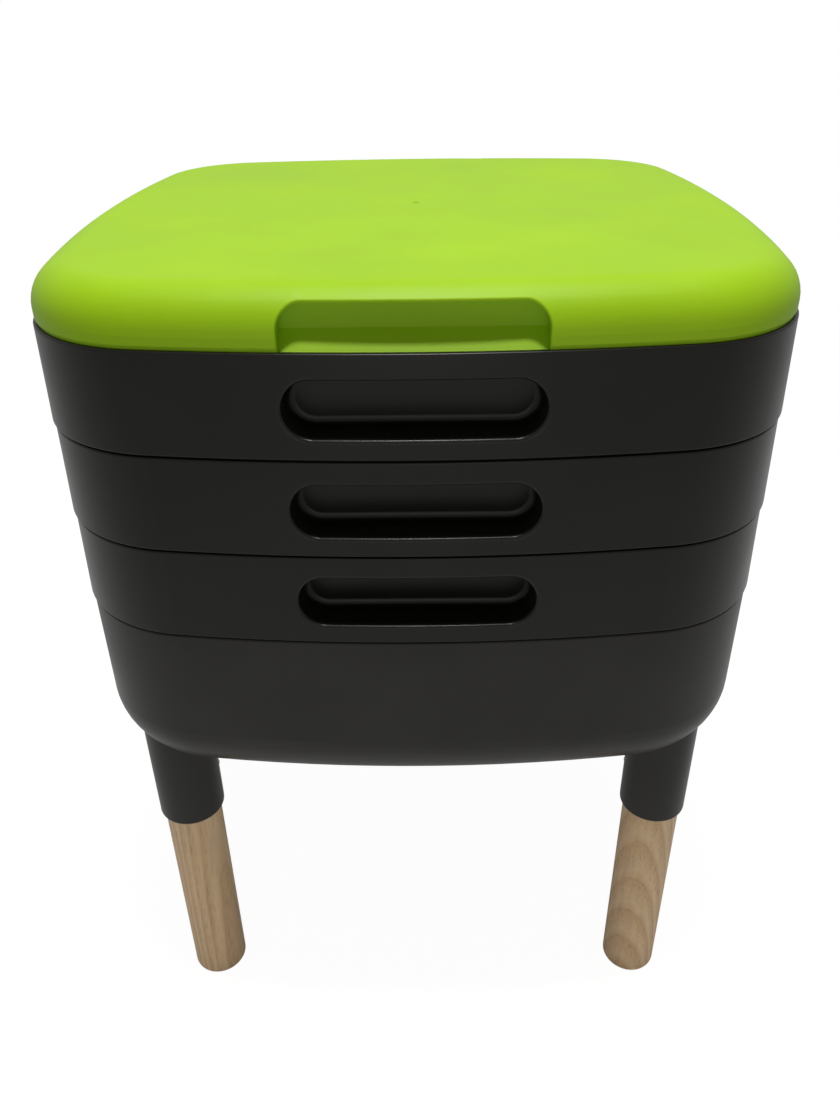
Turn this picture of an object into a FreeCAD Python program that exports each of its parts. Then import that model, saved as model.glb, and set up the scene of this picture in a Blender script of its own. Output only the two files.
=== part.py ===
import FreeCAD, Part
import math
import os
import re
import Sketcher

# A wormery: a stack of three perforated trays under a lid, on a sump that stands on four wooden
# legs and empties through a tap at its back. Sizes are in millimetres. +Z is up and the front
# faces -Y. The origin is on the floor, midway between the legs.
#
# Every moulding is made alike: an outer form, less a hollow form in which the walls of its grips
# stay standing, less its recesses and holes. Seen from above they all follow one outline, four
# bowed sides and four rounded corners, and an inset moves that outline inwards all round.

DIMS = (
    ("rim_width", 392.0, "outside width of a rim, across the middle of two bowed sides"),
    ("side_bow_radius", 926.0, "radius of a bowed side, seen from above"),
    ("corner_radius", 73.0, "radius of a corner, seen from above"),
    ("wall", 3.0, "wall of the trays and of the sump"),
    ("rim_round", 1.2, "rounding of a rim's outer edge"),
    ("rim_lead_in", 0.3, "chamfer of a rim's inner edge"),
    ("seam_gap", 1.2, "height of the shadow line between two trays"),
    ("seam_depth", 1.5, "how far the shadow line runs in from the rim's outline"),
    ("shoulder", 2.5, "thickness of the shoulder that rests on the rim below"),
    ("spigot_clearance", 0.4, "play of a spigot in the rim below"),
    ("spigot_wall", 2.5, "wall of a spigot"),
    ("spigot_drop", 6.5, "how far a spigot reaches into the rim below"),
    ("tray_pitch", 51.0, "height that each tray adds to the stack"),
    ("skirt_flare", 1.0, "how far a tray's lower edge stands out past its rim"),
    ("skirt_round", 0.8, "rounding of a tray's lower edge"),
    ("tray_floor", 2.5, "thickness of a tray's floor"),
    ("drain_hole", 7.0, "diameter of the holes that worms and water pass through"),
    ("drain_pitch", 25.0, "spacing of those holes"),
    ("drain_margin", 44.0, "from the outline to the outermost holes, at least"),
    ("rib_offset", 62.5, "from the centre to each rib under a tray's floor"),
    ("rib_length", 300.0, "length of those ribs"),
    ("rib_width", 2.0, "width of those ribs"),
    ("rib_height", 3.0, "height of those ribs"),
    ("handle_width", 122.4, "width of a tray's hand recess, over its rounded edge"),
    ("handle_height", 31.6, "height of that recess"),
    ("handle_top", 10.2, "from the rim down to the recess"),
    ("handle_depth", 20.0, "depth of the recess"),
    ("handle_wall", 2.5, "wall behind and round the recess"),
    ("handle_edge_round", 2.0, "rounding of the recess's outer edge"),
    ("handle_root_round", 4.0, "rounding between the recess's back and sides"),
    ("lid_height", 26.5, "from the top tray's rim to the top of the lid"),
    ("lid_inset", 1.0, "how far the lid stands in from a rim's outline"),
    ("lid_gap", 1.6, "height of the shadow line under the lid"),
    ("lid_gap_depth", 1.0, "how far that shadow line runs in from the lid's outline"),
    ("lid_wall", 2.5, "wall of the lid"),
    ("lid_edge_round", 20.5, "rounding of the lid's top edge"),
    ("lid_lower_round", 0.8, "rounding of the lid's lower edge"),
    ("grip_width", 118.0, "width of the lid's finger recess"),
    ("grip_top", 6.8, "from the top of the lid down to the recess"),
    ("grip_corner", 11.0, "radius of the recess's upper corners"),
    ("grip_depth", 14.0, "depth of the recess"),
    ("grip_crease", 19.2, "from the top of the lid to where the recess's back starts to slope out"),
    ("grip_slope", 1.0, "how far the sloping part comes out for each millimetre down"),
    ("grip_wall", 2.5, "wall behind and over the recess"),
    ("grip_edge_round", 1.0, "rounding of the recess's outer edge"),
    ("gate_mark", 4.0, "diameter of the moulding mark in the middle of the lid"),
    ("gate_mark_depth", 0.3, "depth of that mark"),
    ("sump_height", 107.5, "height of the sump"),
    ("sump_edge_round", 40.0, "rounding of the sump's lower edge"),
    ("ground_clearance", 205.0, "from the floor to the underside of the sump"),
    ("leg_spacing", 296.0, "between the axes of neighbouring legs"),
    ("leg_diameter", 35.0, "diameter of the wooden legs"),
    ("leg_fit", 0.1, "play round a leg in its sleeve"),
    ("foot_round", 2.5, "rounding of a leg's lower end"),
    ("sleeve_wall", 2.5, "wall of a leg sleeve"),
    ("sleeve_drop", 53.0, "from the sump's underside to the mouth of a sleeve"),
    ("sleeve_round", 2.0, "rounding of a sleeve's mouth"),
    ("screw_level", 22.0, "from a sleeve's mouth up to its screw"),
    ("screw_shank", 4.0, "diameter of the screw"),
    ("screw_length", 18.0, "length of the screw under its head"),
    ("screw_head", 8.0, "diameter of the screw's head"),
    ("screw_head_height", 2.6, "height of the screw's head"),
    ("screw_head_rim", 1.0, "height of the straight rim of that head"),
    ("screw_head_crown", 5.0, "diameter of the flat top of that head"),
    ("screw_drive", 3.0, "diameter of the drive recess in that head"),
    ("screw_drive_depth", 1.5, "depth of that recess"),
    ("screw_play", 0.2, "play round the screw in the sleeve"),
    ("screw_fit", 0.05, "play round the screw in the wood"),
    ("screw_seat", 0.6, "depth of the flat that the screw's head rests on"),
    ("ladder_base", 150.0, "diameter of the worm ladder at its foot"),
    ("ladder_top", 60.0, "diameter of the worm ladder at its top"),
    ("ladder_steps", 5.0, "number of the ladder's steps"),
    ("ladder_wall", 2.2, "wall of the ladder"),
    ("ladder_slots", 12.0, "number of slots round the ladder"),
    ("ladder_slot", 6.0, "width of those slots"),
    ("ladder_ring", 8.0, "height of the closed rings at the ladder's foot and top"),
    ("ladder_hole", 8.0, "diameter of the holes in the ladder's top"),
    ("niche_width", 68.0, "width of the niche that the tap sits in"),
    ("niche_depth", 34.0, "depth of the niche"),
    ("niche_height", 54.0, "height of the niche"),
    ("niche_corner", 8.0, "radius of the niche's upper corners"),
    ("tap_level", 17.0, "from the sump's underside up to the axis of the tap's shank"),
    ("tap_shank", 16.0, "diameter of the tap's shank"),
    ("tap_hole_play", 0.3, "play round the shank in the sump"),
    ("tap_bore", 9.0, "bore of the tap"),
    ("tap_flange", 25.0, "diameter of the tap's flange"),
    ("tap_flange_thickness", 3.0, "thickness of that flange"),
    ("tap_washer", 24.0, "diameter of the two washers"),
    ("tap_washer_thickness", 2.0, "thickness of the washers"),
    ("tap_nut", 22.0, "width of the nut across its flats"),
    ("tap_nut_thickness", 7.0, "thickness of the nut"),
    ("tap_nut_fit", 0.05, "play of the washers and the nut on the shank"),
    ("tap_shank_end", 2.0, "length of shank that shows past the nut"),
    ("tap_reach", 13.0, "from the flange to the axis of the valve"),
    ("barrel_diameter", 21.0, "diameter of the valve's barrel"),
    ("barrel_half", 13.0, "height of the barrel above and below the shank's axis"),
    ("barrel_floor", 4.0, "thickness of the barrel's floor"),
    ("plug_diameter", 15.0, "diameter of the plug that turns in the barrel"),
    ("plug_window", 8.0, "diameter of the plug's window"),
    ("plug_fit", 0.05, "play round the plug in the barrel"),
    ("plug_stem", 8.0, "diameter of the plug's stem"),
    ("plug_stem_flat", 6.0, "width of the stem across its two flats"),
    ("plug_seat", 0.3, "play under the plug and over its shoulder"),
    ("seal_section", 1.6, "thickness of the plug's seal"),
    ("seal_play", 0.2, "play of the seal in its groove, over, under and across"),
    ("bonnet_diameter", 25.0, "diameter of the cap that keeps the plug in"),
    ("bonnet_height", 4.0, "height of that cap over the barrel"),
    ("bonnet_gap", 0.5, "gap between the cap's skirt and the neck behind the barrel"),
    ("bonnet_flute", 1.6, "diameter of the grip flutes round the cap"),
    ("bonnet_flutes", 16.0, "number of those flutes"),
    ("spout_diameter", 14.0, "diameter of the spout"),
    ("spout_length", 15.0, "length of the spout below the barrel"),
    ("lever_hub", 16.0, "diameter of the lever's hub"),
    ("lever_height", 7.0, "height of the hub"),
    ("lever_gap", 0.4, "gap between the cap and the lever"),
    ("lever_length", 27.0, "from the valve's axis to the tip of the lever"),
    ("lever_width", 9.0, "width of the lever"),
    ("lever_thickness", 4.0, "thickness of the lever's blade"),
    ("lever_web", 2.0, "thickness of the hub over the plug's stem"),
    ("lever_round", 1.0, "rounding of the lever's edges"),
    ("lever_screw", 3.0, "diameter of the screw that holds the lever"),
    ("lever_screw_length", 10.0, "length of that screw under its head"),
    ("lever_screw_head", 6.0, "diameter of its head"),
    ("lever_screw_head_height", 2.0, "height of its head"),
    ("lever_screw_head_rim", 1.0, "height of the straight rim of its head"),
    ("lever_screw_head_crown", 3.8, "diameter of the flat top of its head"),
    ("lever_screw_drive", 2.4, "diameter of the drive recess in its head"),
    ("lever_screw_drive_depth", 1.2, "depth of that recess"),
    ("spout_round", 0.8, "rounding of the spout's mouth"),
    ("cut_margin", 5.0, "how far a cutting form stands out of what it cuts"),
)
TRAY_NAMES = ("tray_bottom", "tray_middle", "tray_top")
LEG_CORNERS = (
    ("leg_rear_right", 1, 1, 225),
    ("leg_rear_left", -1, 1, 315),
    ("leg_front_left", -1, -1, 45),
    ("leg_front_right", 1, -1, 135),
)

document = FreeCAD.newDocument("wormery")
sheet = document.addObject("Spreadsheet::Sheet", "dims")
size = {}
for row, (alias, value, meaning) in enumerate(DIMS, start=1):
    sheet.set(f"A{row}", meaning)
    sheet.set(f"B{row}", str(value))
    sheet.setAlias(f"B{row}", alias)
    size[alias] = value
document.recompute()

# The corner circle touches both side circles, which fixes its centre on the diagonal.
side_reach = size["side_bow_radius"] - size["rim_width"] / 2
corner_span = size["side_bow_radius"] - size["corner_radius"]
corner_centre = (math.sqrt(2 * corner_span**2 - side_reach**2) - side_reach) / 2
side_angle = math.atan2(corner_centre, corner_centre + side_reach)


def bind(item, path, formula):
    """Ties a property to a formula in the sheet's aliases."""
    item.setExpression(path, re.sub(r"[a-z_]+", lambda word: sheet_name(word.group()), formula))


def sheet_name(word):
    return f"dims.{word}" if word in size else word


def inset_of(point):
    """Tells how far a point lies inside the outline, seen from above."""
    x, y = abs(point.x), abs(point.y)
    if x < y:
        x, y = y, x
    if math.atan2(y, x + side_reach) < side_angle:
        return size["side_bow_radius"] - math.hypot(x + side_reach, y)
    return size["corner_radius"] - math.hypot(x - corner_centre, y - corner_centre)


def middle_of(edge):
    return edge.valueAt((edge.FirstParameter + edge.LastParameter) / 2)


def near(first, second, slack=0.05):
    return abs(first - second) < slack


def lies_at(edge, level):
    box = edge.BoundBox
    return near(box.ZMin, level) and near(box.ZMax, level)


def new_body(name):
    body = document.addObject("PartDesign::Body", name)
    body.AllowCompound = True
    return body


def origin_item(body, role):
    for item in body.Origin.OriginFeatures:
        if item.Role == role:
            return item


def new_sketch(body, name, role="XY_Plane", offset="0"):
    sketch = body.newObject("Sketcher::SketchObject", name)
    sketch.AttachmentSupport = [(origin_item(body, role), "")]
    sketch.MapMode = "FlatFace"
    bind(sketch, "AttachmentOffset.Base.z", offset)
    return sketch


def fix(sketch, name, formula, kind, *where):
    """Adds a named size to a sketch and ties it to the sheet."""
    index = sketch.addConstraint(Sketcher.Constraint(kind, *where))
    sketch.renameConstraint(index, name)
    bind(sketch, f"Constraints.{name}", formula)


def arc(x, y, radius, start, end):
    circle = Part.Circle(FreeCAD.Vector(x, y, 0), FreeCAD.Vector(0, 0, 1), radius)
    return Part.ArcOfCircle(circle, start, end)


def line(x1, y1, x2, y2):
    return Part.LineSegment(FreeCAD.Vector(x1, y1, 0), FreeCAD.Vector(x2, y2, 0))


def outline_sketch(body, name, level, inset):
    """Draws the plan outline at a level, moved in by an inset."""
    sketch = new_sketch(body, name, "XY_Plane", level)
    sides = []
    corners = []
    for quarter in range(4):
        turn = math.radians(90 * quarter)
        cos, sin = math.cos(turn), math.sin(turn)
        side = arc(-side_reach * cos, -side_reach * sin, size["side_bow_radius"],
                   turn - side_angle, turn + side_angle)
        sides.append(sketch.addGeometry(side, False))
        x = corner_centre * (cos - sin)
        y = corner_centre * (sin + cos)
        corner = arc(x, y, size["corner_radius"], turn + side_angle, turn + math.pi / 2 - side_angle)
        corners.append(sketch.addGeometry(corner, False))
    for quarter in range(4):
        following = sides[(quarter + 1) % 4]
        sketch.addConstraint(Sketcher.Constraint("Tangent", sides[quarter], 2, corners[quarter], 1))
        sketch.addConstraint(Sketcher.Constraint("Tangent", corners[quarter], 2, following, 1))
    for quarter, side in enumerate(sides):
        axis = -1 if quarter % 2 == 0 else -2
        kind = "DistanceX" if quarter % 2 == 0 else "DistanceY"
        ends = (side, 3, -1, 1) if quarter < 2 else (-1, 1, side, 3)
        sketch.addConstraint(Sketcher.Constraint("PointOnObject", side, 3, axis))
        fix(sketch, f"reach_{quarter}", "side_bow_radius - rim_width / 2", kind, *ends, side_reach)
    for group in (sides, corners):
        for other in group[1:]:
            sketch.addConstraint(Sketcher.Constraint("Equal", group[0], other))
    fix(sketch, "side", f"side_bow_radius - ({inset})", "Radius", sides[0], size["side_bow_radius"])
    fix(sketch, "corner", f"corner_radius - ({inset})", "Radius", corners[0], size["corner_radius"])
    return sketch


def add_pad(body, sketch, name, length, kind="PartDesign::Pad", reverse=False, symmetric=False):
    feature = body.newObject(kind, name)
    feature.Profile = (sketch, [""])
    feature.Reversed = reverse
    feature.SideType = "Symmetric" if symmetric else "One side"
    bind(feature, "Length", length)
    sketch.Visibility = False
    return feature


def outline_pad(body, name, level, height, inset):
    return add_pad(body, outline_sketch(body, f"{name}_outline", level, inset), name, height)


def round_edges(body, name, radius, chosen, kind="PartDesign::Fillet", measure="Radius"):
    """Rounds or chamfers the edges of the body that a test picks out."""
    document.recompute()
    base = body.Tip
    edges = enumerate(base.Shape.Edges, start=1)
    names = [f"Edge{number}" for number, edge in edges if chosen(edge)]
    feature = body.newObject(kind, name)
    feature.Base = (base, names)
    bind(feature, measure, radius)
    return feature


def draw_circle(sketch, name, diameter, x="0", y="0"):
    """Draws a circle whose centre is given by formulas, each 0 for on the axis."""
    circle = Part.Circle(FreeCAD.Vector(1, 1, 0), FreeCAD.Vector(0, 0, 1), 1)
    index = sketch.addGeometry(circle, False)
    fix(sketch, f"{name}_size", diameter, "Diameter", index, 2.0)
    for axis, formula, kind in ((-2, x, "DistanceX"), (-1, y, "DistanceY")):
        if formula == "0":
            sketch.addConstraint(Sketcher.Constraint("PointOnObject", index, 3, axis))
        else:
            fix(sketch, f"{name}_{kind}", formula, kind, -1, 1, index, 3, 1.0)
    return index


def draw_polygon(sketch, name, corners):
    """Draws a closed polygon through corners given as pairs of formulas."""
    count = len(corners)
    for number in range(count):
        turn = 2 * math.pi * number / count
        onward = 2 * math.pi * (number + 1) / count
        edge = line(math.cos(turn), math.sin(turn), math.cos(onward), math.sin(onward))
        sketch.addGeometry(edge, False)
    first = sketch.GeometryCount - count
    for number in range(count):
        following = first + (number + 1) % count
        sketch.addConstraint(Sketcher.Constraint("Coincident", first + number, 2, following, 1))
    for number, (x, y) in enumerate(corners):
        fix(sketch, f"{name}_x{number}", x, "DistanceX", -1, 1, first + number, 1, 1.0)
        fix(sketch, f"{name}_y{number}", y, "DistanceY", -1, 1, first + number, 1, 1.0)


def arch_form(name, width, bottom, top, corner, start, length):
    """Makes a block with two rounded upper corners, standing off the XZ plane towards +Y."""
    body = new_body(name)
    sketch = new_sketch(body, f"{name}_front", "XZ_Plane", f"-({start})")
    half = f"({width}) / 2"
    draw_polygon(sketch, "front", ((f"-{half}", bottom), (half, bottom), (half, top), (f"-{half}", top)))
    add_pad(body, sketch, f"{name}_block", length, reverse=True)
    document.recompute()
    highest = body.Shape.BoundBox.ZMax
    round_edges(body, f"{name}_corners", corner,
                lambda edge: lies_at(edge, highest) and edge.BoundBox.XLength < 0.01)
    return body


def repeat(body, name, feature, count):
    """Repeats a feature round the body's Z axis."""
    pattern = body.newObject("PartDesign::PolarPattern", name)
    pattern.Originals = [feature]
    pattern.Axis = (origin_item(body, "Z_Axis"), [""])
    pattern.Angle = 360
    pattern.Occurrences = count
    body.Tip = pattern
    return pattern


def turn_profile(body, sketch, name, axis):
    """Turns a half profile about one of its sketch's own axes."""
    feature = body.newObject("PartDesign::Revolution", name)
    feature.Profile = (sketch, [""])
    feature.ReferenceAxis = (sketch, [axis])
    feature.Angle = 360
    return feature


def cut(name, first, second):
    item = document.addObject("Part::Cut", name)
    item.Base = first
    item.Tool = second
    item.Refine = True
    return item


def fuse(name, *items):
    item = document.addObject("Part::MultiFuse", name)
    item.Shapes = list(items)
    item.Refine = True
    return item


def body_on(name, base):
    """Starts a body from another object's shape."""
    body = new_body(name)
    body.BaseFeature = base
    document.recompute()
    return body


def place(item, x="0", y="0", z="0", turn=0, axis=FreeCAD.Vector(0, 0, 1)):
    item.Placement.Rotation = FreeCAD.Rotation(axis, turn)
    for letter, formula in (("x", x), ("y", y), ("z", z)):
        if formula != "0":
            bind(item, f"Placement.Base.{letter}", formula)
    return item


def cylinder(name, diameter, height, x="0", y="0", z="0", lying=False):
    """Makes a cylinder, standing up from its place or lying from it towards +Y."""
    item = document.addObject("Part::Cylinder", name)
    bind(item, "Radius", f"({diameter}) / 2")
    bind(item, "Height", height)
    turn = -90 if lying else 0
    return place(item, x, y, z, turn, FreeCAD.Vector(1, 0, 0))


def box(name, length, width, height, x="0", y="0", z="0"):
    """Makes a box that is centred on x and y and stands up from z."""
    item = document.addObject("Part::Box", name)
    bind(item, "Length", length)
    bind(item, "Width", width)
    bind(item, "Height", height)
    return place(item, f"({x}) - ({length}) / 2", f"({y}) - ({width}) / 2", z)


spigot_inset = "wall + spigot_clearance"
inner_inset = f"{spigot_inset} + spigot_wall"
rim_level = "ground_clearance + sump_height"


# Trays

def hand_recess_form(name, grow, depth):
    """Makes a lying stadium that reaches from outside into both the front and the back wall."""
    body = new_body(name)
    sketch = new_sketch(body, f"{name}_front", "XZ_Plane")
    half = (size["handle_width"] - size["handle_height"]) / 2
    radius = size["handle_height"] / 2
    level = size["tray_pitch"] - size["handle_top"] - radius
    right = sketch.addGeometry(arc(half, level, radius, -math.pi / 2, math.pi / 2), False)
    left = sketch.addGeometry(arc(-half, level, radius, math.pi / 2, 3 * math.pi / 2), False)
    top = sketch.addGeometry(line(half, level + radius, -half, level + radius), False)
    bottom = sketch.addGeometry(line(-half, level - radius, half, level - radius), False)
    for first, second in ((right, top), (top, left), (left, bottom), (bottom, right)):
        sketch.addConstraint(Sketcher.Constraint("Tangent", first, 2, second, 1))
    sketch.addConstraint(Sketcher.Constraint("Equal", right, left))
    sketch.addConstraint(Sketcher.Constraint("Symmetric", right, 3, left, 3, -2))
    fix(sketch, "spacing", "handle_width - handle_height", "DistanceX", left, 3, right, 3, 2 * half)
    fix(sketch, "level", "tray_pitch - handle_top - handle_height / 2",
        "DistanceY", -1, 1, right, 3, level)
    fix(sketch, "radius", f"handle_height / 2 - handle_edge_round + {grow}", "Radius", right, radius)
    add_pad(body, sketch, f"{name}_bar", "rim_width + 2 * cut_margin", symmetric=True)
    middle = new_sketch(body, f"{name}_side", "YZ_Plane")
    half_middle = f"(rim_width / 2 - ({depth}))"
    draw_polygon(middle, "side", ((f"-{half_middle}", "-cut_margin"), (half_middle, "-cut_margin"),
                                  (half_middle, "tray_pitch"), (f"-{half_middle}", "tray_pitch")))
    add_pad(body, middle, f"{name}_middle", "handle_width + 2 * cut_margin", "PartDesign::Pocket",
            symmetric=True)
    return body


tray_form = new_body("tray_form")
rim_outline = outline_sketch(tray_form, "skirt_outline", "tray_pitch", "0")
skirt = add_pad(tray_form, rim_outline, "skirt", "tray_pitch - seam_gap", reverse=True)
bind(skirt, "TaperAngle", "atan(skirt_flare / (tray_pitch - seam_gap))")
round_edges(tray_form, "skirt_edge", "skirt_round", lambda edge: lies_at(edge, size["seam_gap"]))
round_edges(tray_form, "rim_edge", "rim_round", lambda edge: lies_at(edge, size["tray_pitch"]))
outline_pad(tray_form, "tray_shoulder", "0", "shoulder", "seam_depth")
outline_pad(tray_form, "tray_spigot", "-spigot_drop", "spigot_drop + shoulder", spigot_inset)

tray_hollow_form = new_body("tray_hollow_form")
outline_pad(tray_hollow_form, "tray_room", "shoulder", "tray_pitch - shoulder", "wall")
outline_pad(tray_hollow_form, "tray_well", "tray_floor - spigot_drop",
            "spigot_drop + shoulder - tray_floor", inner_inset)

hand_block = hand_recess_form("hand_block", "handle_wall", "handle_depth + handle_wall")
hand_recess = hand_recess_form("hand_recess", "0", "handle_depth")
tray_hollow = cut("tray_hollow", tray_hollow_form, hand_block)
tray_shell = cut("tray_shell", tray_form, fuse("tray_cuts", tray_hollow, hand_recess))
tray_moulding = body_on("tray_moulding", tray_shell)


def on_recess_front(edge):
    """Tells whether an edge runs round the opening of a hand recess."""
    box_of = edge.BoundBox
    top = size["tray_pitch"] - size["handle_top"]
    inside = box_of.ZMax < top + 1 and box_of.ZMin > top - size["handle_height"] - 1
    wide = max(abs(box_of.XMin), abs(box_of.XMax)) < size["handle_width"] / 2 + 1
    middle = middle_of(edge)
    return inside and wide and inset_of(middle) < 0.1 and abs(middle.x) < size["handle_width"] / 2


def on_recess_back(depth):
    """Makes a test for the edges round the back of a hand recess, at a depth."""
    def chosen(edge):
        box_of = edge.BoundBox
        deep = size["rim_width"] / 2 - depth
        flat = near(box_of.YMin, box_of.YMax) and near(abs(box_of.YMin), deep)
        return flat and box_of.ZMin > size["tray_floor"]
    return chosen


round_edges(tray_moulding, "recess_root", "handle_root_round", on_recess_back(size["handle_depth"]))
round_edges(tray_moulding, "recess_bulge", "handle_root_round + handle_wall",
            on_recess_back(size["handle_depth"] + size["handle_wall"]))
round_edges(tray_moulding, "recess_edge", "handle_edge_round", on_recess_front)
round_edges(tray_moulding, "rim_lead", "rim_lead_in",
            lambda edge: lies_at(edge, size["tray_pitch"]) and near(inset_of(middle_of(edge)), size["wall"]),
            "PartDesign::Chamfer", "Size")

rib_sketch = new_sketch(tray_moulding, "rib_plan", "XY_Plane", "-spigot_drop")
draw_polygon(rib_sketch, "rib", (("-rib_length / 2", "rib_offset - rib_width / 2"),
                                 ("rib_length / 2", "rib_offset - rib_width / 2"),
                                 ("rib_length / 2", "rib_offset + rib_width / 2"),
                                 ("-rib_length / 2", "rib_offset + rib_width / 2")))
rib = add_pad(tray_moulding, rib_sketch, "rib", "rib_height", reverse=True)
repeat(tray_moulding, "ribs", rib, 4)

grid_steps = math.floor((size["rim_width"] / 2 - size["drain_margin"]) / size["drain_pitch"])
hole_sketch = new_sketch(tray_moulding, "hole_plan", "XY_Plane", "tray_floor")
draw_circle(hole_sketch, "hole", "drain_hole", f"-{grid_steps} * drain_pitch",
            f"-{grid_steps} * drain_pitch")
hole = add_pad(tray_moulding, hole_sketch, "hole", "spigot_drop + tray_floor + cut_margin",
               "PartDesign::Pocket")
holes = tray_moulding.newObject("PartDesign::LinearPattern", "holes")
holes.Originals = [hole]
holes.Direction = (origin_item(tray_moulding, "X_Axis"), [""])
holes.Direction2 = (origin_item(tray_moulding, "Y_Axis"), [""])
bind(holes, "Length", f"{2 * grid_steps} * drain_pitch")
bind(holes, "Length2", f"{2 * grid_steps} * drain_pitch")
holes.Occurrences = 2 * grid_steps + 1
holes.Occurrences2 = 2 * grid_steps + 1
tray_moulding.Tip = holes
document.recompute()

nodes = {}
for number, name in enumerate(TRAY_NAMES):
    tray = body_on(name, tray_moulding)
    nodes[name] = place(tray, z=f"{rim_level} + {number} * tray_pitch")


# Lid

def grip_form(name, grow):
    """Makes the finger recesses at the front and back of the lid, grown by a wall's thickness."""
    body = arch_form(name, f"grip_width + 2 * ({grow})", "-spigot_drop - cut_margin",
                     f"lid_height - grip_top + ({grow})", f"grip_corner + ({grow})",
                     "-rim_width / 2 - cut_margin", "rim_width + 2 * cut_margin")
    core = new_sketch(body, f"{name}_side", "YZ_Plane")
    back = f"(rim_width / 2 - lid_inset - grip_depth - ({grow}))"
    crease_shift = f"({grow}) * (sqrt(1 + grip_slope * grip_slope) - 1) / grip_slope"
    crease = f"(lid_height - grip_crease - {crease_shift})"
    slope_end = f"({back} + ({crease} + spigot_drop + cut_margin) * grip_slope)"
    top = "lid_height + cut_margin"
    bottom = "-spigot_drop - cut_margin"
    draw_polygon(core, "side", ((f"-{slope_end}", bottom), (slope_end, bottom), (back, crease),
                                (back, top), (f"-{back}", top), (f"-{back}", crease)))
    add_pad(body, core, f"{name}_core", "grip_width + 4 * cut_margin + 4 * grip_wall",
            "PartDesign::Pocket", symmetric=True)
    return body


lid_form = new_body("lid_form")
outline_pad(lid_form, "lid_block", "lid_gap", "lid_height - lid_gap", "lid_inset")
round_edges(lid_form, "lid_top_edge", "lid_edge_round", lambda edge: lies_at(edge, size["lid_height"]))
outline_pad(lid_form, "lid_shoulder", "0", "shoulder", "lid_inset + lid_gap_depth")
outline_pad(lid_form, "lid_spigot", "-spigot_drop", "spigot_drop + shoulder", spigot_inset)

lid_hollow_form = new_body("lid_hollow_form")
outline_pad(lid_hollow_form, "lid_room", "shoulder", "lid_height - lid_wall - shoulder",
            "lid_inset + lid_wall")
round_edges(lid_hollow_form, "lid_room_edge", "lid_edge_round - lid_wall",
            lambda edge: lies_at(edge, size["lid_height"] - size["lid_wall"]))
outline_pad(lid_hollow_form, "lid_mouth", "-spigot_drop", "spigot_drop + shoulder", inner_inset)

grip_recess = grip_form("grip_recess", "0")
grip_block = grip_form("grip_block", "grip_wall")
lid_hollow = cut("lid_hollow", lid_hollow_form, grip_block)
mark = cylinder("lid_mark", "gate_mark", "gate_mark_depth + cut_margin", z="lid_height - gate_mark_depth")
lid_shell = cut("lid_shell", lid_form, fuse("lid_cuts", lid_hollow, grip_recess, mark))
lid = body_on("lid", lid_shell)


def on_grip_front(edge):
    """Tells whether an edge runs round the opening of a finger recess."""
    point = middle_of(edge)
    deep = inset_of(point) - size["lid_inset"]
    over = point.z - size["lid_height"] + size["lid_edge_round"]
    if over > 0:
        deep = size["lid_edge_round"] - math.hypot(size["lid_edge_round"] - deep, over)
    beside = abs(point.x) < size["grip_width"] / 2 + 0.1
    below = point.z < size["lid_height"] - size["grip_top"] + 0.1
    above = point.z > size["lid_gap"] + 0.1
    return abs(deep) < 0.1 and beside and below and above


round_edges(lid, "grip_edge", "grip_edge_round", on_grip_front)
round_edges(lid, "lid_lower_edge", "lid_lower_round",
            lambda edge: lies_at(edge, size["lid_gap"])
            and near(inset_of(middle_of(edge)), size["lid_inset"]))
nodes["lid"] = place(lid, z=f"{rim_level} + {len(TRAY_NAMES)} * tray_pitch")

# Sump, with the leg sleeves moulded on and a niche for the tap

pad_face = "(rim_width / 2 - niche_depth)"
sump_form = new_body("sump_form")
outline_pad(sump_form, "sump_block", "0", "sump_height", "0")
round_edges(sump_form, "sump_lower_edge", "sump_edge_round", lambda edge: lies_at(edge, 0))
round_edges(sump_form, "sump_rim_edge", "rim_round", lambda edge: lies_at(edge, size["sump_height"]))

sump_hollow_form = new_body("sump_hollow_form")
outline_pad(sump_hollow_form, "sump_room", "wall", "sump_height - wall", "wall")
round_edges(sump_hollow_form, "sump_room_edge", "sump_edge_round - wall",
            lambda edge: lies_at(edge, size["wall"]))

niche_reach = "niche_depth + cut_margin"
niche = arch_form("niche", "niche_width", "-cut_margin", "niche_height", "niche_corner",
                  pad_face, niche_reach)
niche_block = arch_form("niche_block", "niche_width + 2 * wall", "-cut_margin", "niche_height + wall",
                        "niche_corner + wall", f"{pad_face} - wall", f"{niche_reach} + wall")
sump_hollow = cut("sump_hollow", sump_hollow_form, niche_block)


def four_rounds(name, diameter, level, height):
    """Makes four upright cylinders on the axes of the legs."""
    body = new_body(name)
    sketch = new_sketch(body, f"{name}_plan", "XY_Plane", level)
    for corner, x, y, _ in LEG_CORNERS:
        half_x = "leg_spacing / 2" if x > 0 else "-leg_spacing / 2"
        half_y = "leg_spacing / 2" if y > 0 else "-leg_spacing / 2"
        draw_circle(sketch, corner, diameter, half_x, half_y)
    add_pad(body, sketch, f"{name}_rounds", height)
    return body


sleeves = four_rounds("sleeves", "leg_diameter + 2 * leg_fit + 2 * sleeve_wall", "-sleeve_drop",
                      "sleeve_drop + sump_edge_round")
round_edges(sleeves, "sleeve_mouth", "sleeve_round", lambda edge: lies_at(edge, -size["sleeve_drop"]))
sockets = four_rounds("sockets", "leg_diameter + 2 * leg_fit", "-sleeve_drop - cut_margin",
                      "sleeve_drop + cut_margin")

# The screws lie on the diagonals, heads towards the middle. They are drawn along +X and turned.
leg_radius_out = "leg_spacing / 2 * sqrt(2)"
sleeve_face = f"({leg_radius_out} - leg_diameter / 2 - leg_fit - sleeve_wall + screw_seat)"


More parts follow.
